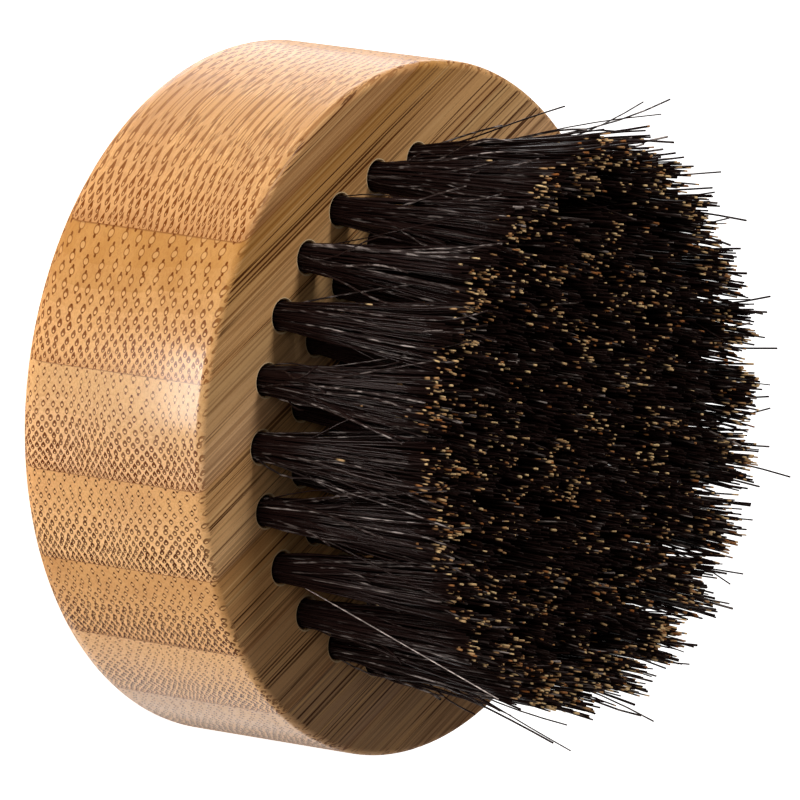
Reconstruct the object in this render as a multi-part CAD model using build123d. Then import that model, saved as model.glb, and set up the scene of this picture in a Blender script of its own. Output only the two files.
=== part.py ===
from build123d import *

import math
import os

# Palm-sized beard brush: a short round body turned from an edge-glued bamboo board, with stiff bristle
# tufts in blind holes on concentric rings of its front face. Each tuft is folded in half over a flat
# wire anchor, which is wedged across its hole near the bottom.
#
# Millimetres. The flat back of the body lies on z = 0 with the origin at its centre, +Z points the way
# the bristles point, X runs along the bamboo fibres and Y runs across the glued strips.

# Body.
body_diameter = 60.0
body_height = 20.3
back_edge_radius = 2.7
front_edge_radius = 0.7

# Glued strips, counted from the +Y rim. The last one runs out to the -Y rim.
strip_count = 8
strip_width = 7.95
first_glue_line = 26.6

# Tuft holes: one in the centre, then rings of 6, 12, 18 and 24.
hole_diameter = 2.7
hole_depth = 9.5
hole_edge_chamfer = 0.15
drill_point_angle = 118.0
ring_pitch = 5.42
holes_added_per_ring = 6
first_hole_angle = 64.0

# Tufts: packed tight in the hole, fanning out above the face, trimmed flat.
root_clearance = 0.02
tuft_width = 5.3
tuft_length = 18.8
fan_height = 11.5
trim_edge_chamfer = 0.5

# Anchors: flat wire set across the fibres, which bites into the bamboo at both ends.
anchor_thickness = 0.3
anchor_height = 1.6
anchor_bite = 0.3
bristle_under_anchor = 0.7

body_radius = body_diameter / 2
hole_radius = hole_diameter / 2
hole_bottom = body_height - hole_depth
drill_point_depth = hole_radius / math.tan(math.radians(drill_point_angle / 2))
root_radius = hole_radius - root_clearance
tuft_radius = tuft_width / 2
tuft_top = body_height + tuft_length
anchor_length = hole_diameter + 2 * anchor_bite
anchor_bottom = hole_bottom + bristle_under_anchor


def turned(outline):
    """A solid of revolution about Z, from the corners (radius, height) of half its section."""
    section = make_face(Polyline(*outline, close=True))
    return revolve(Plane.XZ * section, Axis.Z)


def turned_body():
    """The body before it is drilled, with a large round on its back edge and a small one in front."""
    body = Cylinder(body_radius, body_height, align=(Align.CENTER, Align.CENTER, Align.MIN))
    back_edge = body.edges().filter_by(GeomType.CIRCLE).sort_by(Axis.Z)[0]
    body = fillet(back_edge, back_edge_radius)
    front_edge = body.edges().filter_by(GeomType.CIRCLE).sort_by(Axis.Z)[-1]
    return fillet(front_edge, front_edge_radius)


def drill():
    """What one tuft hole removes: a blind hole with a drill point and a lightly broken edge."""
    above = 1.0
    return turned(
        [
            (0, hole_bottom - drill_point_depth),
            (hole_radius, hole_bottom),
            (hole_radius, body_height - hole_edge_chamfer),
            (hole_radius + hole_edge_chamfer + above, body_height + above),
            (0, body_height + above),
        ]
    )


def anchor():
    """A straight length of flat wire on edge, longer than the hole is wide."""
    blank = Box(
        anchor_thickness, anchor_length, anchor_height, align=(Align.CENTER, Align.CENTER, Align.MIN)
    )
    return Pos(0, 0, anchor_bottom) * blank


def tuft():
    """One bundle of bristles as a closed solid, from its fold in the hole to its trimmed tips."""
    bundle = turned(
        [
            (0, hole_bottom),
            (root_radius, hole_bottom),
            (root_radius, body_height),
            (tuft_radius, body_height + fan_height),
            (tuft_radius, tuft_top - trim_edge_chamfer),
            (tuft_radius - trim_edge_chamfer, tuft_top),
            (0, tuft_top),
        ]
    )
    return bundle - anchor()


def ring_places(ring):
    """The hole centres of one ring, where ring 0 is the single hole in the middle."""
    holes = max(1, ring * holes_added_per_ring)
    angles = [math.radians(first_hole_angle + 360 * i / holes) for i in range(holes)]
    radius = ring * ring_pitch
    return [Pos(radius * math.cos(a), radius * math.sin(a), 0) for a in angles]


def strip_edges():
    """The Y limits of each strip, from the +Y rim to the -Y rim."""
    glue_lines = [first_glue_line - i * strip_width for i in range(strip_count - 1)]
    tops = [body_radius, *glue_lines]
    bottoms = [*glue_lines, -body_radius]
    return list(zip(bottoms, tops))


def bamboo_strips():
    """The drilled body, sawn along its glue lines into the strips it was laminated from."""
    tools = []
    for ring in range(5):
        for place in ring_places(ring):
            tools += [place * drill(), place * anchor()]
    drilled = turned_body() - tools
    strips = []
    for bottom, top in strip_edges():
        slab = Box(body_diameter, top - bottom, body_height, align=(Align.CENTER, Align.MIN, Align.MIN))
        strips.append(drilled & Pos(0, bottom, 0) * slab)
    return strips


def write(node, shape):
    """One STEP file for one node, as a single solid or as a group of separate ones."""
    solids = shape.solids()
    whole = solids[0] if len(solids) == 1 else Compound(solids)
    whole.label = node
    export_step(whole, os.path.join("parts", f"{node}.step"))


os.makedirs("parts", exist_ok=True)

for number, strip in enumerate(bamboo_strips(), start=1):
    write(f"bamboo_strip_{number}", strip)

# The two outermost rings show as single tufts; the rest is grouped ring by ring.
for ring, name in ((4, "outer_tuft"), (3, "third_ring_tuft")):
    for number, place in enumerate(ring_places(ring), start=1):
        write(f"{name}_{number:02d}", place * tuft())
for ring, name in ((2, "second_ring_tufts"), (1, "first_ring_tufts"), (0, "centre_tuft")):
    write(name, Compound([place * tuft() for place in ring_places(ring)]))

anchor_nodes = (
    "centre_anchor",
    "first_ring_anchors",
    "second_ring_anchors",
    "third_ring_anchors",
    "outer_ring_anchors",
)
for ring, name in enumerate(anchor_nodes):
    write(name, Compound([place * anchor() for place in ring_places(ring)]))
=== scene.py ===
import math

import bpy
import numpy as np
from mathutils import Matrix, Vector


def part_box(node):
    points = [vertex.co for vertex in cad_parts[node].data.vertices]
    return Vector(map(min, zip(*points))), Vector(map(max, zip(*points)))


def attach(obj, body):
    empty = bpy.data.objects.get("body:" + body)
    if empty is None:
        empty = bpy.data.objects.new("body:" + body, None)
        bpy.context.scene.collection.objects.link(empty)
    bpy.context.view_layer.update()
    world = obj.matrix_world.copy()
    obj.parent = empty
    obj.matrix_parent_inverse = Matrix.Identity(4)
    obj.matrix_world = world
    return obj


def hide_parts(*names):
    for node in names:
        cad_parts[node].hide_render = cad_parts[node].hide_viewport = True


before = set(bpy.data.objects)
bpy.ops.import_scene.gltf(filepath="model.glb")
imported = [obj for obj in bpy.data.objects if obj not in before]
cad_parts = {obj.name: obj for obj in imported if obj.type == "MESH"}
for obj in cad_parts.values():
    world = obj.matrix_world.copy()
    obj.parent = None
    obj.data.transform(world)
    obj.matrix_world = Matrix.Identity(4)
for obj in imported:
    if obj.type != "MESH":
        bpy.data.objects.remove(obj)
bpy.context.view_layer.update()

# A round bamboo beard brush. The bamboo strips and the wire anchors are the CAD bodies with detailed
# materials. Every tuft is replaced by its real bristles: hairs folded in half round the anchor in the
# bottom of the hole, fanning out above the face to cut tips. Metres, in the frame of the CAD model.

MM = 0.001

# The camera: its bearing and height angle round the brush, its roll, and the point that it looks at.
VIEW_AZIMUTH = 140.5
VIEW_ELEVATION = 36.13
VIEW_ROLL = 98.31
VIEW_DISTANCE = 1.0343
VIEW_TARGET = Vector((-0.2, 0.9, 19.0)) * MM
LENS = 543.5
SENSOR_WIDTH = 36

# Sizes read from the CAD model, in metres. The fourth strip crosses the middle of the body.
STRIP_NODES = [f"bamboo_strip_{i}" for i in range(1, 9)]
STRIP_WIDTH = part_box(STRIP_NODES[3])[1].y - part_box(STRIP_NODES[3])[0].y
BODY_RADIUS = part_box(STRIP_NODES[3])[1].x
FACE_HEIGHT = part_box(STRIP_NODES[3])[1].z
HOLE_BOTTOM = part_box("centre_tuft")[0].z
TRIM_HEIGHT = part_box("centre_tuft")[1].z
ANCHOR_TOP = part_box("centre_anchor")[1].z


def middle(node):
    """The X and Y of the middle of a node."""
    low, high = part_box(node)
    return Vector(((low.x + high.x) / 2, (low.y + high.y) / 2))


# The tufts stand in rings round the centre tuft, and each ring has six more than the ring inside it. All
# rings share the bearing of their first tuft. The pitch of the rings and the radius of the pale rim round
# each hole, which is raw wood with a painted highlight of its lit edge, are in millimetres.
OUTER_RING = 4
TUFTS_ADDED_PER_RING = 6
FIRST_TUFT = middle("outer_tuft_01")
FIRST_BEARING = math.atan2(FIRST_TUFT.y, FIRST_TUFT.x)
RING_PITCH = FIRST_TUFT.length / OUTER_RING / MM
RIM_RADIUS = 1.50

# The hairs of a tuft. Slopes are metres sideways for each metre of rise, and shares are of all the ends.
SEED = 61
HAIRS_PER_TUFT = 84
HAIR_SIDES = 5
HAIR_SEGMENTS = 8
HAIR_RADIUS = 0.086 * MM
HAIR_TAPER = 0.04
ROOT_SPREAD = 1.20 * MM
FAN_SLOPE = 0.135
CLUMP_SLOPE = 0.10
SHORT_SHARE = 0.10
STRAY_SHARE = 0.13
GOLDEN_ANGLE = math.pi * (3 - math.sqrt(5))

# One long pale hair leans out of this tuft and lies across its neighbours. It stands this much above the
# trimmed tips, and its radius is this share of its own.
LONE_HAIR_TUFT = "outer_bristles_09"
LONE_HAIR_LEAN = (-0.12, -0.34)
LONE_HAIR_EXTRA = 3.0 * MM
LONE_HAIR_THICKNESS = 0.5
LONE_HAIR_TONE = 12.0

# Where the brush is splayed outward: a bearing and a width in degrees, and the slope that it adds there.
FLARES = ((50, 34, 0.125), (-35, 32, 0.09), (-85, 26, 0.07))


def view_axes():
    """The camera's right, up and backward directions."""
    azimuth = math.radians(VIEW_AZIMUTH)
    elevation = math.radians(VIEW_ELEVATION)
    backward = Vector(
        (
            math.cos(elevation) * math.cos(azimuth),
            math.cos(elevation) * math.sin(azimuth),
            math.sin(elevation),
        )
    )
    level_right = Vector((0, 0, 1)).cross(backward).normalized()
    turn = Matrix.Rotation(math.radians(VIEW_ROLL), 3, backward)
    right = turn @ level_right
    return right, backward.cross(right), backward


VIEW_RIGHT, VIEW_UP, VIEW_BACK = view_axes()


# ---------------------------------------------------------------- shader nodes


class Shader:
    """One Principled material and short ways to add nodes to it."""

    def __init__(self, name):
        self.material = bpy.data.materials.new(name)
        self.material.use_nodes = True
        self.tree = self.material.node_tree
        self.principled = self.tree.nodes["Principled BSDF"]

    def feed(self, socket, value):
        """Links an output to a socket, or sets the socket's own value."""
        if isinstance(value, bpy.types.NodeSocket):
            self.tree.links.new(value, socket)
        else:
            socket.default_value = value

    def node(self, kind, inputs=(), **settings):
        """A new node with its settings. Its inputs are fed by the name or the number of the socket."""
        made = self.tree.nodes.new(kind)
        for setting, value in settings.items():
            setattr(made, setting, value)
        for socket, value in dict(inputs).items():
            self.feed(made.inputs[socket], value)
        return made

    def maths(self, operation, *values):
        """One arithmetic operation on outputs or plain numbers."""
        return self.node("ShaderNodeMath", dict(enumerate(values)), operation=operation).outputs[0]

    def ramp(self, value, low, high, to_low=0.0, to_high=1.0):
        """A smooth step of value from to_low at low to to_high at high."""
        inputs = {"Value": value, 1: low, 2: high, 3: to_low, 4: to_high}
        return self.node("ShaderNodeMapRange", inputs, interpolation_type="SMOOTHSTEP").outputs[0]

    def blend(self, factor, first, second):
        """A colour between first and second."""
        inputs = {0: factor, 6: first, 7: second}
        return self.node("ShaderNodeMix", inputs, data_type="RGBA").outputs[2]

    def vector(self, x, y, z):
        """A vector from three outputs or plain numbers."""
        return self.node("ShaderNodeCombineXYZ", {0: x, 1: y, 2: z}).outputs[0]

    def noise(self, vector, scale, detail):
        """A noise node: its first output is a value from 0 to 1, and "Color" holds three of them."""
        inputs = {"Vector": vector, "Scale": scale, "Detail": detail}
        return self.node("ShaderNodeTexNoise", inputs)

    def parts(self, three):
        """The three values that a colour holds."""
        return self.node("ShaderNodeSeparateColor", {0: three}).outputs

    def dice(self, x, y, z):
        """Three random values from 0 to 1 for one cell."""
        cell = self.node("ShaderNodeTexWhiteNoise", {0: self.vector(x, y, z)})
        return self.parts(cell.outputs["Color"])

    def length(self, x, y):
        """The length of a flat vector."""
        return self.node("ShaderNodeVectorMath", {0: self.vector(x, y, 0.0)}, operation="LENGTH").outputs[1]

    def object_position(self):
        """The point in millimetres, as separate X, Y and Z."""
        point = self.node("ShaderNodeTexCoord").outputs["Object"]
        scaled = self.node("ShaderNodeVectorMath", {0: point, 3: 1 / MM}, operation="SCALE")
        split = self.node("ShaderNodeSeparateXYZ", {0: scaled.outputs[0]})
        return split.outputs


def colour(red, green, blue):
    """A linear colour from 8-bit sRGB values."""
    def linear(value):
        share = value / 255
        return share / 12.92 if share <= 0.04045 else ((share + 0.055) / 1.055) ** 2.4
    return (linear(red), linear(green), linear(blue), 1.0)


# ---------------------------------------------------------------- bamboo


CANE_SKIN = colour(150, 84, 34)
STREAK = colour(172, 112, 54)
CLOUD = colour(232, 178, 112)
SPECK = colour(158, 98, 44)
DARK_LINE = colour(78, 38, 12)
PALE_LINE = colour(236, 190, 130)
VESSEL = colour(242, 198, 140)
GLUE = colour(112, 54, 18)
# Raw wood with a painted highlight: this pale rim round each tuft hole also stands in for its lit edge.
RAW_WOOD_AND_HIGHLIGHT = colour(246, 218, 172)

# Rows of fibre bundles share their spacing in groups, and each group is set off along its rows from the
# one before. The jitters are in row heights, or in bundle spacings along a row.
ROWS_PER_GROUP = 2
GROUP_OFFSET = 7.31
ROW_JITTER = 0.08
SIDEWAYS_JITTER = 0.07
INWARD_JITTER = 0.06


class Grain:
    """The fibre bundles of one strip: two interleaved sets of rows, which stand far apart on the strip's
    inner side and close up towards its outer side. widest and closest are the row heights of one set at
    the two sides, in millimetres, and spacing is how far apart the bundles of a row stand, in row heights.
    size scales the bundles where they are far apart, and hood is half their width where they are close,
    where vessel is how strongly their pale vessels show."""

    def __init__(self, shader, seed, widest, closest, spacing, size, hood, vessel):
        self.shader = shader
        self.seed = seed
        self.widest = widest
        self.closest = closest
        self.spacing = spacing
        self.size = size
        self.hood = hood
        self.vessel = vessel
        self.closing = (1 - closest / widest) / (STRIP_WIDTH / MM)
        self.rate = self.closing * widest

    def row_height(self, row):
        """The height of a row in millimetres, counted from the strip's inner edge."""
        maths = self.shader.maths
        return maths("MULTIPLY", self.widest, maths("EXPONENT", maths("MULTIPLY", row, -self.rate)))

    def cells(self, depth, z, shift):
        """Divides the end grain into cells of one bundle each, from the depth into the strip and the
        height z. shift, 0 or 0.5, chooses one of the two sets of rows.

        Gives the position inside the cell, sideways and towards the strip's inner edge, in row heights,
        with the closeness of the rows from 0 to 1 and a random value.
        """
        shader = self.shader
        maths = shader.maths
        remaining = maths("SUBTRACT", 1.0, maths("MULTIPLY", depth, self.closing))
        logarithm = maths("LOGARITHM", maths("MAXIMUM", remaining, 0.1), math.e)
        rows = maths("MULTIPLY_ADD", logarithm, -1 / self.rate, shift)
        row = maths("FLOOR", rows)
        height = self.row_height(maths("ADD", row, 0.5 - shift))
        group = maths("FLOOR", maths("DIVIDE", row, ROWS_PER_GROUP))
        pitch = self.row_height(maths("MULTIPLY_ADD", group, ROWS_PER_GROUP, ROWS_PER_GROUP / 2))
        pitch = maths("MULTIPLY", pitch, self.spacing)
        row_dice = shader.dice(row, self.seed + shift, 3.0)[0]
        jitter = shader.ramp(row_dice, 0, 1, shift - ROW_JITTER, shift + ROW_JITTER)
        offset = maths("MULTIPLY_ADD", group, GROUP_OFFSET, jitter)
        columns = maths("ADD", maths("DIVIDE", z, pitch), offset)
        chance = shader.dice(row, maths("FLOOR", columns), self.seed + shift)
        sideways = maths("SUBTRACT", maths("FRACT", columns), 0.5)
        jitter = shader.ramp(chance[0], 0, 1, -SIDEWAYS_JITTER, SIDEWAYS_JITTER)
        sideways = maths("ADD", sideways, jitter)
        sideways = maths("MULTIPLY", sideways, maths("DIVIDE", pitch, height))
        inward = maths("SUBTRACT", 0.5, maths("FRACT", rows))
        jitter = shader.ramp(chance[1], 0, 1, -INWARD_JITTER, INWARD_JITTER)
        inward = maths("ADD", inward, jitter)
        closeness = shader.ramp(height, self.widest * 0.90, self.closest)
        return sideways, inward, closeness, chance[2]

    def oval(self, sideways, inward, centre, width, height):
        """How far a point is from an oval's middle, where 1 is its edge."""
        maths = self.shader.maths
        across = maths("DIVIDE", sideways, width)
        along = maths("DIVIDE", maths("SUBTRACT", inward, centre), height)
        return self.shader.length(across, along)

    def marks(self, sideways, inward, closeness):
        """Masks of one bundle: its dark fibre caps with the brown ring, and its pale vessels. Where
        bundles are far apart the ring is thin with a dot above and below, and where they are close
        together it thickens upward to a pointed hood that is open below."""
        maths = self.shader.maths
        ramp = self.shader.ramp

        def grown(far_apart, close):
            return maths("MULTIPLY_ADD", closeness, close - far_apart, far_apart)

        def oval(centre, width, height):
            return self.oval(sideways, inward, centre, width, height)

        size = self.size
        hood = self.hood
        upper = oval(grown(0.19 * size, 0.16), 0.085, 0.075)
        lower = oval(grown(-0.19 * size, -0.24), 0.080, grown(0.075, 0.050))
        inside = oval(grown(0.0, -0.15), grown(0.160 * size, 0.070), grown(0.115 * size, 0.11))
        outside = oval(0.0, grown(0.210 * size, hood), grown(0.160 * size, hood + 0.09))
        taper = maths("MULTIPLY", maths("SUBTRACT", 0.41, inward), 2.7 * hood)
        point = maths("SUBTRACT", taper, maths("ABSOLUTE", sideways))
        ring = maths("MULTIPLY", ramp(outside, 1.06, 0.92), ramp(point, 0.0, 0.04))
        ring = maths("MULTIPLY", ring, ramp(inward, grown(-0.50, -0.34), grown(-0.40, -0.16)))
        ring = maths("MULTIPLY", ring, grown(0.75, 1.0))
        vessels = ramp(inside, 1.08, 0.86)
        ring = maths("MULTIPLY", ring, maths("SUBTRACT", 1.0, vessels))
        caps = maths("MAXIMUM", ramp(upper, 1.10, 0.85), ramp(lower, 1.10, 0.85))
        return maths("MAXIMUM", caps, ring), maths("MULTIPLY", vessels, grown(0.17, self.vessel))

    def pattern(self, depth, z):
        """Both sets of rows together: masks of the caps and of the vessels, and the closeness."""
        maths = self.shader.maths
        caps = 0.0
        vessels = 0.0
        for shift in (0.0, 0.5):
            sideways, inward, closeness, chance = self.cells(depth, z, shift)
            own_caps, own_vessels = self.marks(sideways, inward, closeness)
            own_caps = maths("MULTIPLY", own_caps, self.shader.ramp(chance, 0.0, 1.0, 0.86, 1.0))
            caps = maths("MAXIMUM", caps, own_caps)
            vessels = maths("MAXIMUM", vessels, own_vessels)
        return caps, vessels, closeness


def hole_distance(shader, x, y):
    """How far a point of the face is from the middle of the nearest tuft hole, in millimetres."""
    maths = shader.maths
    reach = shader.length(x, y)
    ring = maths("MINIMUM", maths("ROUND", maths("DIVIDE", reach, RING_PITCH)), OUTER_RING)
    holes = maths("MAXIMUM", maths("MULTIPLY", ring, TUFTS_ADDED_PER_RING), 1.0)
    turns = maths("DIVIDE", maths("SUBTRACT", maths("ARCTAN2", y, x), FIRST_BEARING), math.tau)
    steps = maths("MULTIPLY", turns, holes)
    aside = maths("DIVIDE", maths("SUBTRACT", steps, maths("ROUND", steps)), holes)
    along = maths("COSINE", maths("MULTIPLY", aside, math.tau))
    radius = maths("MULTIPLY", ring, RING_PITCH)
    squares = maths("MULTIPLY_ADD", reach, reach, maths("MULTIPLY", radius, radius))
    product = maths("MULTIPLY", maths("MULTIPLY", reach, radius), along)
    return maths("SQRT", maths("MAXIMUM", maths("MULTIPLY_ADD", product, -2.0, squares), 0.0))


def wandering(shader, seed, x, y, z):
    """How far the grain strays at a point, in millimetres: into the strip and along Z. It changes slowly,
    and least along the fibres."""
    maths = shader.maths
    slow = shader.vector(maths("MULTIPLY", x, 0.004), maths("MULTIPLY", y, 0.05), maths("MULTIPLY", z, 0.08))
    slow = shader.node("ShaderNodeVectorMath", {0: slow, 1: (seed, seed, 0.0)}, operation="ADD").outputs[0]
    strays = shader.parts(shader.noise(slow, 1.0, 1.5).outputs["Color"])
    return shader.ramp(strays[0], 0.2, 0.8, 0.0, 1.2), shader.ramp(strays[1], 0.2, 0.8, -1.1, 1.1)


def bamboo(name, top_edge, seed, rows, pale, dark, mark):
    """Lacquered bamboo, solid through the strip: fibre bundles along X seen as dots on the end grain and
    as streaks along the fibres. top_edge is the Y of the strip's inner edge in millimetres, and rows
    describes the rows of its grain. pale and dark are the ground where the bundles are far apart and
    where they are close, and mark is the colour of the fibre caps."""
    shader = Shader(name)
    maths = shader.maths
    ramp = shader.ramp
    x, y, z = shader.object_position()
    depth = maths("SUBTRACT", top_edge, y)
    depth_shift, side_shift = wandering(shader, seed, x, y, z)
    grain = Grain(shader, seed, *rows)
    caps, vessels, closeness = grain.pattern(maths("ADD", depth, depth_shift), maths("ADD", z, side_shift))

    # lengthwise is 1 where the surface runs along the fibres, and on_face is 1 on the front face.
    normal = shader.node("ShaderNodeNewGeometry").outputs["True Normal"]
    facing = shader.node("ShaderNodeSeparateXYZ", {0: normal}).outputs
    lengthwise = ramp(maths("ABSOLUTE", facing[0]), 0.45, 0.0)
    on_face = ramp(facing[2], 0.3, 0.9)

    # Noises stretched along the fibres, and one of small specks.
    along = shader.vector(maths("MULTIPLY", x, 0.05), y, z)
    fine = shader.noise(along, 5.0, 4.0).outputs[0]
    broad = shader.noise(along, 0.35, 2.0).outputs[0]
    speck = shader.noise(shader.vector(x, y, z), 9.0, 2.0).outputs[0]
    threads = shader.noise(shader.vector(maths("MULTIPLY", x, 0.006), y, z), 4.4, 3.0).outputs[0]

    # Ground colour, darker towards the skin of the cane, with streaks, clouds and specks.
    crowding = ramp(depth, STRIP_WIDTH / MM - 1.0, STRIP_WIDTH / MM, 0.0, 0.3)
    ground = shader.blend(closeness, pale, dark)
    ground = shader.blend(crowding, ground, CANE_SKIN)
    streak_share = maths("MULTIPLY_ADD", lengthwise, -0.2, 0.45)
    streaks = maths("MULTIPLY", ramp(fine, 0.35, 0.75), streak_share)
    ground = shader.blend(streaks, ground, STREAK)
    ground = shader.blend(ramp(broad, 0.35, 0.7, 0.0, 0.25), ground, CLOUD)
    ground = shader.blend(ramp(speck, 0.55, 0.75, 0.0, 0.30), ground, SPECK)

    # Thin dark and pale lines along the fibres, in groups, and strongest on the front face.
    line_share = maths("MULTIPLY_ADD", lengthwise, 0.82, 0.12)
    line_share = maths("MULTIPLY", line_share, ramp(broad, 0.44, 0.56, 0.32, 1.0))
    line_share = maths("MULTIPLY", line_share, ramp(facing[2], 0.0, 0.8, 0.55, 1.0))
    dark_lines = maths("MULTIPLY", ramp(threads, 0.55, 0.60), line_share)
    pale_lines = maths("MULTIPLY", ramp(threads, 0.42, 0.34), line_share)
    ground = shader.blend(dark_lines, ground, DARK_LINE)
    ground = shader.blend(pale_lines, ground, PALE_LINE)

    # Fibre bundles, which show most where they are cut across.
    cut_across = maths("MULTIPLY_ADD", lengthwise, -0.35, 1.0)
    cut_across = maths("MULTIPLY_ADD", on_face, -0.32, cut_across)
    ground = shader.blend(maths("MULTIPLY", vessels, cut_across), ground, VESSEL)
    ground = shader.blend(maths("MULTIPLY", caps, cut_across), ground, mark)

    # The glue line, and the pale rim round each tuft hole: raw wood, with a painted highlight of its lit
    # edge.
    glue = ramp(maths("ABSOLUTE", depth), 0.10, 0.03, 0.0, 0.6)
    ground = shader.blend(glue, ground, GLUE)
    rim = maths("ABSOLUTE", maths("SUBTRACT", hole_distance(shader, x, y), RIM_RADIUS))
    raw_rim_and_highlight = maths("MULTIPLY", ramp(rim, 0.11, 0.05, 0.0, 0.7), ramp(facing[2], 0.4, 0.6))
    ground = shader.blend(raw_rim_and_highlight, ground, RAW_WOOD_AND_HIGHLIGHT)

    # Lacquer, and shallow relief.
    shader.feed(shader.principled.inputs["Base Color"], ground)
    shader.feed(shader.principled.inputs["Roughness"], ramp(fine, 0.3, 0.8, 0.36, 0.52))
    shader.principled.inputs["Specular IOR Level"].default_value = 0.06
    shader.principled.inputs["Coat Weight"].default_value = 0.10
    shader.principled.inputs["Coat Roughness"].default_value = 0.20
    shader.principled.inputs["Coat IOR"].default_value = 1.45
    relief = maths("SUBTRACT", maths("MULTIPLY", fine, 0.4), maths("MAXIMUM", caps, dark_lines))
    bump = shader.node("ShaderNodeBump", {"Strength": 0.25, "Distance": 0.06 * MM, "Height": relief})
    shader.feed(shader.principled.inputs["Normal"], bump.outputs[0])
    return shader.material


def finish_strips():
    """Gives each CAD strip its own bamboo: its own grain, and colours of its own. The first lines
    are rows for Grain, and the looks are those rows with the pale, dark and mark colours of each strip.
    The colours of the lower strips also hold painted light: lighter and greyer for a painted sheen low on
    the side, and darker for painted shade where the side turns away from the light."""
    pointed = (1.62, 0.72, 1.05, 1.0, 0.235, 0.12)
    coarse = (1.62, 0.72, 1.05, 1.0, 0.235, 0.40)
    fine = (1.44, 0.66, 0.95, 0.86, 0.285, 0.50)
    finest = (1.24, 0.58, 0.95, 0.82, 0.26, 0.50)
    russet = colour(116, 58, 6)
    chestnut = colour(100, 44, 2)
    umber = colour(78, 32, 0)
    looks = [
        (pointed, colour(162, 122, 88), colour(208, 156, 102), russet),
        (coarse, colour(186, 132, 68), colour(228, 176, 118), russet),
        (fine, colour(214, 168, 114), colour(240, 192, 142), chestnut),
        (fine, colour(216, 164, 108), colour(242, 194, 140), umber),
        (fine, colour(202, 150, 94), colour(232, 180, 124), umber),
        # The lower strips: lighter and greyer as a painted sheen, and darker as painted shade where the side
        # turns away from the light, on top of the wood's own colour.
        (finest, colour(222, 174, 122), colour(222, 176, 128), umber),
        (finest, colour(196, 158, 122), colour(206, 168, 134), umber),
        (finest, colour(206, 166, 124), colour(206, 164, 120), umber),
    ]
    for number, (node, look) in enumerate(zip(STRIP_NODES, looks)):
        lower_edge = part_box(STRIP_NODES[0])[0].y - number * STRIP_WIDTH
        top_edge = (lower_edge + STRIP_WIDTH) / MM
        seed = 7.0 * number + 1.0
        finish = bamboo(f"bamboo_{number + 1}", top_edge, seed, *look)
        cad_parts[node].material_slots[0].material = finish


# ---------------------------------------------------------------- anchors


def drawn_wire():
    """Bright flat wire with fine drawing lines along its length."""
    shader = Shader("drawn_wire")
    x, y, z = shader.object_position()
    lines = shader.noise(shader.vector(x, shader.maths("MULTIPLY", y, 0.1), z), 22.0, 3.0).outputs[0]
    tint = shader.blend(shader.ramp(lines, 0.3, 0.7), colour(168, 166, 160), colour(208, 206, 200))
    shader.feed(shader.principled.inputs["Base Color"], tint)
    shader.feed(shader.principled.inputs["Roughness"], shader.ramp(lines, 0.3, 0.7, 0.28, 0.42))
    shader.principled.inputs["Metallic"].default_value = 1.0
    return shader.material


def finish_anchors():
    """Gives every CAD anchor its wire."""
    wire = drawn_wire()
    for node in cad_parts:
        if "anchor" in node:
            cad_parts[node].material_slots[0].material = wire


# ---------------------------------------------------------------- bristles


def bristle_material():
    """Dark horn-like hair with painted highlights as light streaks along its shaft, and a pale golden end
    where it was cut.
    """
    shader = Shader("bristle")

    def attribute(name):
        return shader.node("ShaderNodeAttribute", attribute_name=name).outputs["Fac"]

    from_tip = attribute("from_tip")
    pale_length = attribute("pale_length")
    tone = attribute("tone")
    x, y, z = shader.object_position()
    # Light streaks along the shafts are painted highlights, strongest on the ends marked lighter. On the one
    # lone hair they make up its own pale colour.
    glints = shader.noise(shader.vector(x, y, shader.maths("MULTIPLY", z, 0.15)), 3.4, 2.0).outputs[0]
    pale_hair_and_highlight = shader.maths("MULTIPLY", tone, shader.ramp(glints, 0.50, 0.64, 0.04, 0.7))
    shaft = shader.blend(pale_hair_and_highlight, colour(30, 18, 16), colour(210, 194, 186))
    hue = shader.maths("FRACT", shader.maths("MULTIPLY", pale_length, 37.0))
    gold = shader.blend(hue, colour(150, 90, 46), colour(236, 202, 148))
    share = shader.maths("DIVIDE", from_tip, shader.maths("MAXIMUM", pale_length, 0.001))
    cut = shader.maths("GREATER_THAN", pale_length, 0.05)
    paleness = shader.maths("MULTIPLY", shader.ramp(share, 1.0, 0.35), cut)
    shader.feed(shader.principled.inputs["Base Color"], shader.blend(paleness, shaft, gold))
    shader.principled.inputs["Roughness"].default_value = 0.22
    shader.principled.inputs["Specular IOR Level"].default_value = 0.03
    shader.principled.inputs["Specular Tint"].default_value = (1.0, 0.86, 0.80, 1.0)
    return shader.material


def sunflower(count):
    """Points that fill a unit disc evenly."""
    step = np.arange(count) + 0.5
    radius = np.sqrt(step / count)
    angle = step * GOLDEN_ANGLE
    return np.column_stack([radius * np.cos(angle), radius * np.sin(angle)])


def paired_roots(rng, count):
    """Root places of the two ends of each hair: one end on each side of the anchor, which lies along Y.
    Rows 0, 2, 4... are the first ends and rows 1, 3, 5... the second ends of the same hairs."""
    places = sunflower(2 * count) + rng.normal(0, 0.03, (2 * count, 2))
    reach = np.linalg.norm(places, axis=1, keepdims=True)
    places = places / np.maximum(reach, 1.0)
    by_side = places[np.argsort(places[:, 0])]
    first = by_side[:count]
    second = by_side[count:]
    roots = np.empty((2 * count, 2))
    roots[0::2] = first[np.argsort(first[:, 1])]
    roots[1::2] = second[np.argsort(second[:, 1])]
    return roots


def flare(angle):
    """The slope at which the brush is splayed outward at this bearing."""
    splay = 0.0
    for bearing, reach, most in FLARES:
        away = (angle - bearing + 180) % 360 - 180
        splay += most * math.exp(-(away / reach) ** 2)
    return splay


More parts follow.
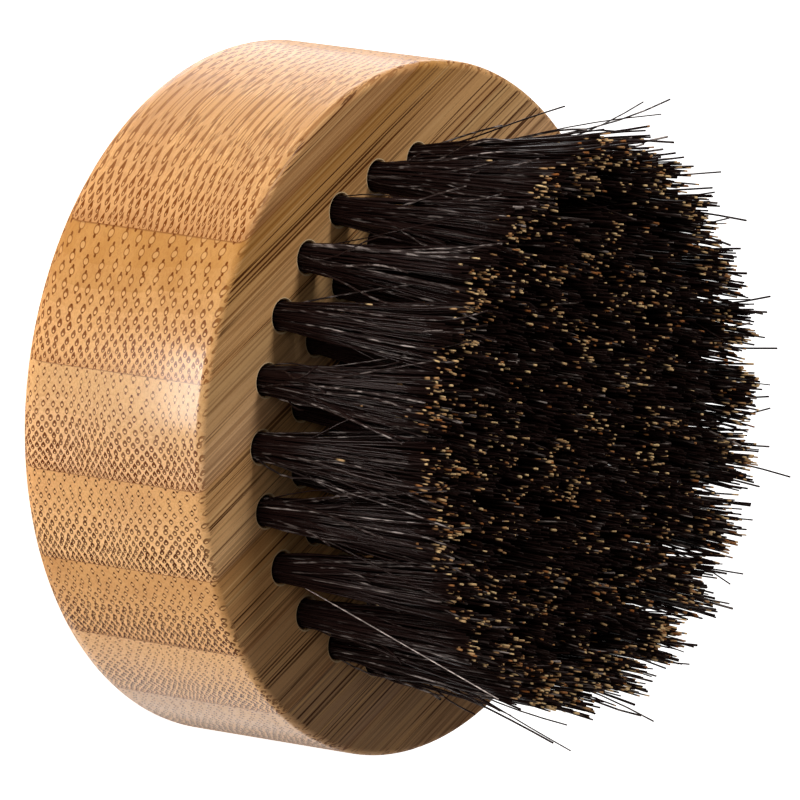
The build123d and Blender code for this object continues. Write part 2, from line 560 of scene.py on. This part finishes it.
class Ends:
    """The random shape of every hair end of one tuft."""

    def __init__(self, rng, centre, outermost):
        count = 2 * HAIRS_PER_TUFT
        self.centre = np.array(centre)
        self.root = paired_roots(rng, HAIRS_PER_TUFT)
        self.length = (TRIM_HEIGHT - FACE_HEIGHT) + rng.normal(-0.2, 0.45, count) * MM
        self.fan = FAN_SLOPE * rng.uniform(0.35, 1.1, count) ** 0.8
        self.lean = rng.normal(0, 0.010, (count, 2)) + rng.normal(0, 0.010, 2)
        self.gather(rng)
        self.curl = rng.normal(0, 0.25, (count, 2)) * MM
        self.wave = rng.normal(0, 0.10, (count, 2)) * MM
        self.radius = np.clip(rng.normal(1.0, 0.17, count // 2), 0.65, 1.4) * HAIR_RADIUS
        self.paint(rng, outermost)
        short = rng.random(count) < SHORT_SHARE
        self.length[short] *= rng.uniform(0.5, 0.95, short.sum())
        if outermost:
            self.splay(rng)

    def paint(self, rng, outermost):
        """Chooses how pale the shaft of each end is, which also sets its painted highlights, and the length
        in millimetres of its golden tip, or 0. Outer tufts get more painted highlights and more golden tips
        than inner ones, whose darker shafts are painted shade. The outer tufts on the -Y side get the most,
        and there the extra golden tips are painted light as well."""
        count = len(self.length)
        # More painted highlights and golden tips on the -Y side of the outer ring, and fewer highlights on
        # the inner tufts as painted shade.
        side = max(0.0, -self.centre[1]) / RING_PITCH / MM / OUTER_RING
        rarity = 12 - 6 * side if outermost else 16
        longest = 0.80 if outermost else 0.60
        most_golden = 0.40 + 0.12 * side if outermost else 0.17
        self.tone = 0.9 * rng.random(count) ** rarity
        self.pale_length = 0.22 + longest * rng.random(count) ** 1.5
        golden_share = np.clip(rng.normal(most_golden, 0.22, self.clumps), 0.02, 0.85)
        self.pale_length[rng.random(count) > golden_share[self.clump]] = 0.0

    def gather(self, rng):
        """Draws neighbouring ends together into small clumps of uneven height."""
        count = len(self.length)
        self.clumps = rng.integers(6, 10)
        middles = sunflower(self.clumps) + rng.normal(0, 0.16, (self.clumps, 2))
        gaps = np.linalg.norm(self.root[:, None, :] - middles[None], axis=2)
        self.clump = gaps.argmin(axis=1)
        pull = rng.uniform(0.25, 0.85, (count, 1))
        self.lean += (middles[self.clump] - self.root) * pull * CLUMP_SLOPE
        peak = rng.uniform(0.2, 1.4, self.clumps)[self.clump] * (0.5 - 2 * gaps.min(axis=1))
        self.length += (rng.normal(0, 0.30, self.clumps)[self.clump] + peak) * MM

    def splay(self, rng):
        """An outer tuft leans out where the brush is splayed, and lets some hairs stray."""
        count = len(self.length)
        outward = self.centre / np.linalg.norm(self.centre)
        lean = flare(math.degrees(math.atan2(outward[1], outward[0])))
        facing_out = np.clip(self.root @ outward, 0, 1)
        self.fan *= 0.9 - 0.30 * facing_out
        self.lean += outward * (lean * (0.4 + 0.6 * rng.random((count, 1))) - 0.005)
        stray = rng.random(count) < STRAY_SHARE + 0.20 * lean
        strays = stray.sum()
        direction = rng.normal(0, 1, (strays, 2)) + outward * 0.5
        direction /= np.linalg.norm(direction, axis=1, keepdims=True)
        self.lean[stray] += direction * (0.04 + 0.24 * rng.random((strays, 1)) ** 2)
        self.length[stray] *= rng.uniform(0.40, 1.18, strays)
        self.curl[stray] *= 3
        self.wave[stray] *= 3
        # Strays get more painted highlights along their shafts.
        self.tone[stray] = 0.8 * rng.random(strays) ** 2
        self.pale_length[stray] = 0.0

    def lone_hair(self, lean):
        """Makes the end nearest the -Y side one long, thin and pale hair."""
        chosen = self.root[:, 1].argmin()
        self.lean[chosen] = lean
        self.length[chosen] = TRIM_HEIGHT - FACE_HEIGHT + LONE_HAIR_EXTRA
        self.fan[chosen] = 0.0
        self.wave[chosen] = 0.0
        self.tone[chosen] = LONE_HAIR_TONE
        self.radius[chosen // 2] *= LONE_HAIR_THICKNESS
        self.pale_length[chosen] = 0.0

    def above_face(self):
        """Points of every end from its tip down to the face."""
        share = np.linspace(1, 0, HAIR_SEGMENTS + 1)[None, :, None]
        rise = self.length[:, None, None] * share
        spread = ROOT_SPREAD + self.fan[:, None, None] * rise
        level = self.centre + self.root[:, None, :] * spread + self.lean[:, None, :] * rise
        level = level + self.curl[:, None, :] * share**2
        level = level + self.wave[:, None, :] * np.sin(math.tau * share)
        return np.concatenate([level, FACE_HEIGHT + rise], axis=2)

    def in_hole(self):
        """Points of every end from the face down to the fold under the anchor."""
        hole = self.centre + self.root * ROOT_SPREAD
        beside = np.column_stack([hole, np.full(len(hole), ANCHOR_TOP)])
        depth = HOLE_BOTTOM + self.radius.repeat(2) + 0.25 * MM * (1 - np.abs(self.root[:, 0]))
        low = np.column_stack([hole, depth + 0.3 * MM])
        middle = self.centre + self.root * (0.5, 0.95) * ROOT_SPREAD
        fold = np.column_stack([middle, depth])
        return np.stack([beside, low, fold], axis=1)


def hair_lines(ends):
    """The centre line of every hair, from one tip down, under the anchor and up to the other tip, and the
    distance of each point from its own tip."""
    lines = np.concatenate([ends.above_face(), ends.in_hole()], axis=1)
    depth = np.linalg.norm(np.diff(lines, axis=1), axis=2).cumsum(axis=1)
    from_tip = np.concatenate([np.zeros((len(lines), 1)), depth], axis=1)
    paths = np.concatenate([lines[0::2], lines[1::2][:, ::-1]], axis=1)
    distance = np.concatenate([from_tip[0::2], from_tip[1::2][:, ::-1]], axis=1)
    return paths, distance


def tubes(paths, radius):
    """Vertices of a tube round every path: an array of hairs, rings and sides."""
    tangent = np.gradient(paths, axis=1)
    tangent /= np.linalg.norm(tangent, axis=2, keepdims=True)
    across = paths[:, -1] - paths[:, 0]
    level = np.column_stack([-across[:, 1], across[:, 0], np.zeros(len(paths))])
    level /= np.linalg.norm(level, axis=1, keepdims=True)
    level = level[:, None, :]
    first = level - (level * tangent).sum(axis=2, keepdims=True) * tangent
    first /= np.linalg.norm(first, axis=2, keepdims=True)
    second = np.cross(tangent, first)
    angle = np.arange(HAIR_SIDES) * math.tau / HAIR_SIDES
    ring = np.cos(angle)[:, None] * first[:, :, None, :] + np.sin(angle)[:, None] * second[:, :, None, :]
    return paths[:, :, None, :] + ring * radius[:, :, None, None]


def tube_faces(hairs, rings):
    """Side quads and end caps of the tubes, as lists of vertex numbers."""
    hair = np.arange(hairs)[:, None, None] * rings * HAIR_SIDES
    ring = np.arange(rings - 1)[None, :, None] * HAIR_SIDES
    side = np.arange(HAIR_SIDES)[None, None, :]
    following = (side + 1) % HAIR_SIDES
    base = hair + ring
    near = base + side
    far = base + following
    quads = np.stack([near, far, far + HAIR_SIDES, near + HAIR_SIDES], axis=-1)
    start = np.arange(hairs)[:, None] * rings * HAIR_SIDES
    first_cap = start + np.arange(HAIR_SIDES)[::-1]
    last_cap = start + (rings - 1) * HAIR_SIDES + np.arange(HAIR_SIDES)
    return quads.reshape(-1, 4).tolist() + first_cap.tolist() + last_cap.tolist()


def add_attribute(mesh, name, values):
    """Stores one value for each vertex."""
    attribute = mesh.attributes.new(name, "FLOAT", "POINT")
    attribute.data.foreach_set("value", np.ascontiguousarray(values, dtype=np.float32).ravel())


def unwrap_tubes(mesh, hairs, rings):
    """Lays every hair out as one upright column, side by side, for baking: its tips are at the bottom and
    the top edge, and so are its two end caps. Each column leaves a gap of a tenth at both sides."""
    gap = 0.1

    def across(corner):
        """The place across the layout of a corner between two sides of a hair."""
        hair = np.arange(hairs).reshape((-1,) + (1,) * (corner.ndim - 1))
        return (hair + gap + (1 - 2 * gap) * corner / HAIR_SIDES) / hairs

    corner_side = np.arange(HAIR_SIDES)[None, None, :, None] + np.array([0, 1, 1, 0])
    corner_ring = np.arange(rings - 1)[None, :, None, None] + np.array([0, 0, 1, 1])
    walls = np.broadcast_arrays(across(corner_side), corner_ring / (rings - 1))
    caps = []
    for edge in (0.0, 1.0):
        column = across(np.arange(HAIR_SIDES)[None, :])
        caps.append(np.stack([column, np.full(column.shape, edge)], axis=-1).reshape(-1, 2))
    places = np.concatenate([np.stack(walls, axis=-1).reshape(-1, 2), *caps])
    layer = mesh.uv_layers.new(name="OFBake")
    layer.data.foreach_set("uv", places.astype(np.float32).ravel())


def bristle_mesh(name, ends):
    """All the hairs of one tuft as closed tubes."""
    paths, distance = hair_lines(ends)
    hairs, rings = distance.shape
    taper = 1 - HAIR_TAPER * np.clip(1 - distance / (distance.max() * 0.7), 0, 1)
    vertices = tubes(paths, ends.radius[:, None] * taper)
    mesh = bpy.data.meshes.new(name)
    mesh.from_pydata(vertices.reshape(-1, 3).tolist(), [], tube_faces(hairs, rings))
    smooth = np.ones(len(mesh.polygons), dtype=bool)
    smooth[-2 * hairs:] = False
    mesh.polygons.foreach_set("use_smooth", smooth)
    unwrap_tubes(mesh, hairs, rings)
    half = rings // 2

    def by_end(values):
        """One value for each end, spread over the rings and sides of its half of the hair."""
        first = np.repeat(values[0::2, None], half, axis=1)
        second = np.repeat(values[1::2, None], rings - half, axis=1)
        return np.repeat(np.concatenate([first, second], axis=1), HAIR_SIDES, axis=1)

    add_attribute(mesh, "from_tip", np.repeat(distance / MM, HAIR_SIDES, axis=1))
    add_attribute(mesh, "pale_length", by_end(ends.pale_length))
    add_attribute(mesh, "tone", by_end(ends.tone))
    return mesh


def make_tufts():
    """Replaces every CAD tuft with its bristles."""
    rng = np.random.default_rng(SEED)
    finish = bristle_material()

    def place(name, node, centre, outermost=False):
        """Makes one tuft of bristles, which replaces a node or a part of one."""
        ends = Ends(rng, centre, outermost)
        if name == LONE_HAIR_TUFT:
            ends.lone_hair(LONE_HAIR_LEAN)
        mesh = bristle_mesh(name, ends)
        mesh.materials.append(finish)
        piece = bpy.data.objects.new(name, mesh)
        bpy.context.scene.collection.objects.link(piece)
        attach(piece, "root")
        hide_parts(node)

    # Every tuft of the two outer rings is a node of its own, and the tufts of an inner ring share one.
    for ring, name in ((OUTER_RING, "outer"), (3, "third_ring")):
        for number in range(1, TUFTS_ADDED_PER_RING * ring + 1):
            node = f"{name}_tuft_{number:02d}"
            place(f"{name}_bristles_{number:02d}", node, tuple(middle(node)), ring == OUTER_RING)
    for ring, name in ((2, "second_ring"), (1, "first_ring")):
        count = TUFTS_ADDED_PER_RING * ring
        for number in range(count):
            turn = Matrix.Rotation(math.tau * number / count, 2)
            centre = turn @ (FIRST_TUFT * ring / OUTER_RING)
            place(f"{name}_bristles_{number + 1:02d}", f"{name}_tufts", tuple(centre))
    place("centre_bristles", "centre_tuft", (0.0, 0.0))


# ---------------------------------------------------------------- stage, light and camera


def make_floor():
    """A large white floor that glows evenly, like a light table."""
    mesh = bpy.data.meshes.new("floor")
    reach = 3.0
    corners = [(-reach, -reach, 0), (reach, -reach, 0), (reach, reach, 0), (-reach, reach, 0)]
    mesh.from_pydata(corners, [], [(0, 1, 2, 3)])
    shader = Shader("floor")
    shader.principled.inputs["Base Color"].default_value = (0.8, 0.8, 0.8, 1.0)
    shader.principled.inputs["Roughness"].default_value = 0.9
    shader.principled.inputs["Emission Color"].default_value = (1.0, 1.0, 1.0, 1.0)
    shader.principled.inputs["Emission Strength"].default_value = 1.0
    mesh.materials.append(shader.material)
    floor = bpy.data.objects.new("floor", mesh)
    floor.visible_glossy = False
    floor.visible_shadow = False
    bpy.context.scene.collection.objects.link(floor)


def area_light(name, sideways, upward, backward, size, power):
    """A square soft box, placed in metres from the brush along the camera's axes, facing the brush."""
    light = bpy.data.lights.new(name, "AREA")
    light.size = size
    light.energy = power
    box = bpy.data.objects.new(name, light)
    bpy.context.scene.collection.objects.link(box)
    offset = VIEW_RIGHT * sideways + VIEW_UP * upward + VIEW_BACK * backward
    box.location = VIEW_TARGET + offset
    box.rotation_euler = offset.to_track_quat("Z", "Y").to_euler()


def sheen_light(name, point, outward, distance, width, height, power):
    """A soft box that shows only as a reflection in the lacquer, seen at a point of the side of the brush
    whose normal is outward."""
    mirrored = 2 * outward.dot(VIEW_BACK) * outward - VIEW_BACK
    light = bpy.data.lights.new(name, "AREA")
    light.shape = "RECTANGLE"
    light.size = width
    light.size_y = height
    light.energy = power
    box = bpy.data.objects.new(name, light)
    box.visible_camera = False
    box.visible_diffuse = False
    bpy.context.scene.collection.objects.link(box)
    box.location = point + mirrored * distance
    box.rotation_euler = mirrored.to_track_quat("Z", "Y").to_euler()


def make_lights():
    """A dim warm surround, four soft boxes, and three reflections in the lacquer of the side, each at a
    bearing in degrees and a height in millimetres."""
    world = bpy.data.worlds.new("studio")
    world.use_nodes = True
    background = world.node_tree.nodes["Background"]
    background.inputs["Color"].default_value = (1.0, 0.90, 0.82, 1.0)
    background.inputs["Strength"].default_value = 0.20
    bpy.context.scene.world = world
    area_light("key", -0.45, 0.30, 0.66, 0.40, 3.1)
    area_light("top", 0.50, 0.63, 0.47, 0.28, 4.1)
    area_light("rim", 0.25, 0.85, -0.20, 0.40, 0.3)
    area_light("low", -0.55, -0.75, 0.30, 0.40, 0.8)
    for name, bearing, z, distance, width, height, power in (
        ("sheen_edge", 142.5, 20.6, 0.030, 0.016, 0.008, 0.030),
        ("sheen_top", 74.0, 12.0, 0.30, 0.20, 0.20, 0.60),
        ("sheen_low", 205.0, 6.0, 0.30, 0.20, 0.20, 0.32),
    ):
        angle = math.radians(bearing)
        outward = Vector((math.cos(angle), math.sin(angle), 0.0))
        point = outward * BODY_RADIUS + Vector((0, 0, z * MM))
        sheen_light(name, point, outward, distance, width, height, power)
    bpy.context.scene.view_settings.view_transform = "Standard"


def make_camera():
    """The camera at the photograph's viewing angle."""
    data = bpy.data.cameras.new("camera")
    data.lens = LENS
    data.sensor_width = SENSOR_WIDTH
    data.clip_end = 20
    camera = bpy.data.objects.new("camera", data)
    bpy.context.scene.collection.objects.link(camera)
    turn = Matrix((VIEW_RIGHT, VIEW_UP, VIEW_BACK)).transposed().to_4x4()
    camera.matrix_world = Matrix.Translation(VIEW_TARGET + VIEW_BACK * VIEW_DISTANCE) @ turn
    bpy.context.scene.camera = camera


make_camera()
make_lights()
make_floor()
finish_strips()
finish_anchors()
make_tufts()
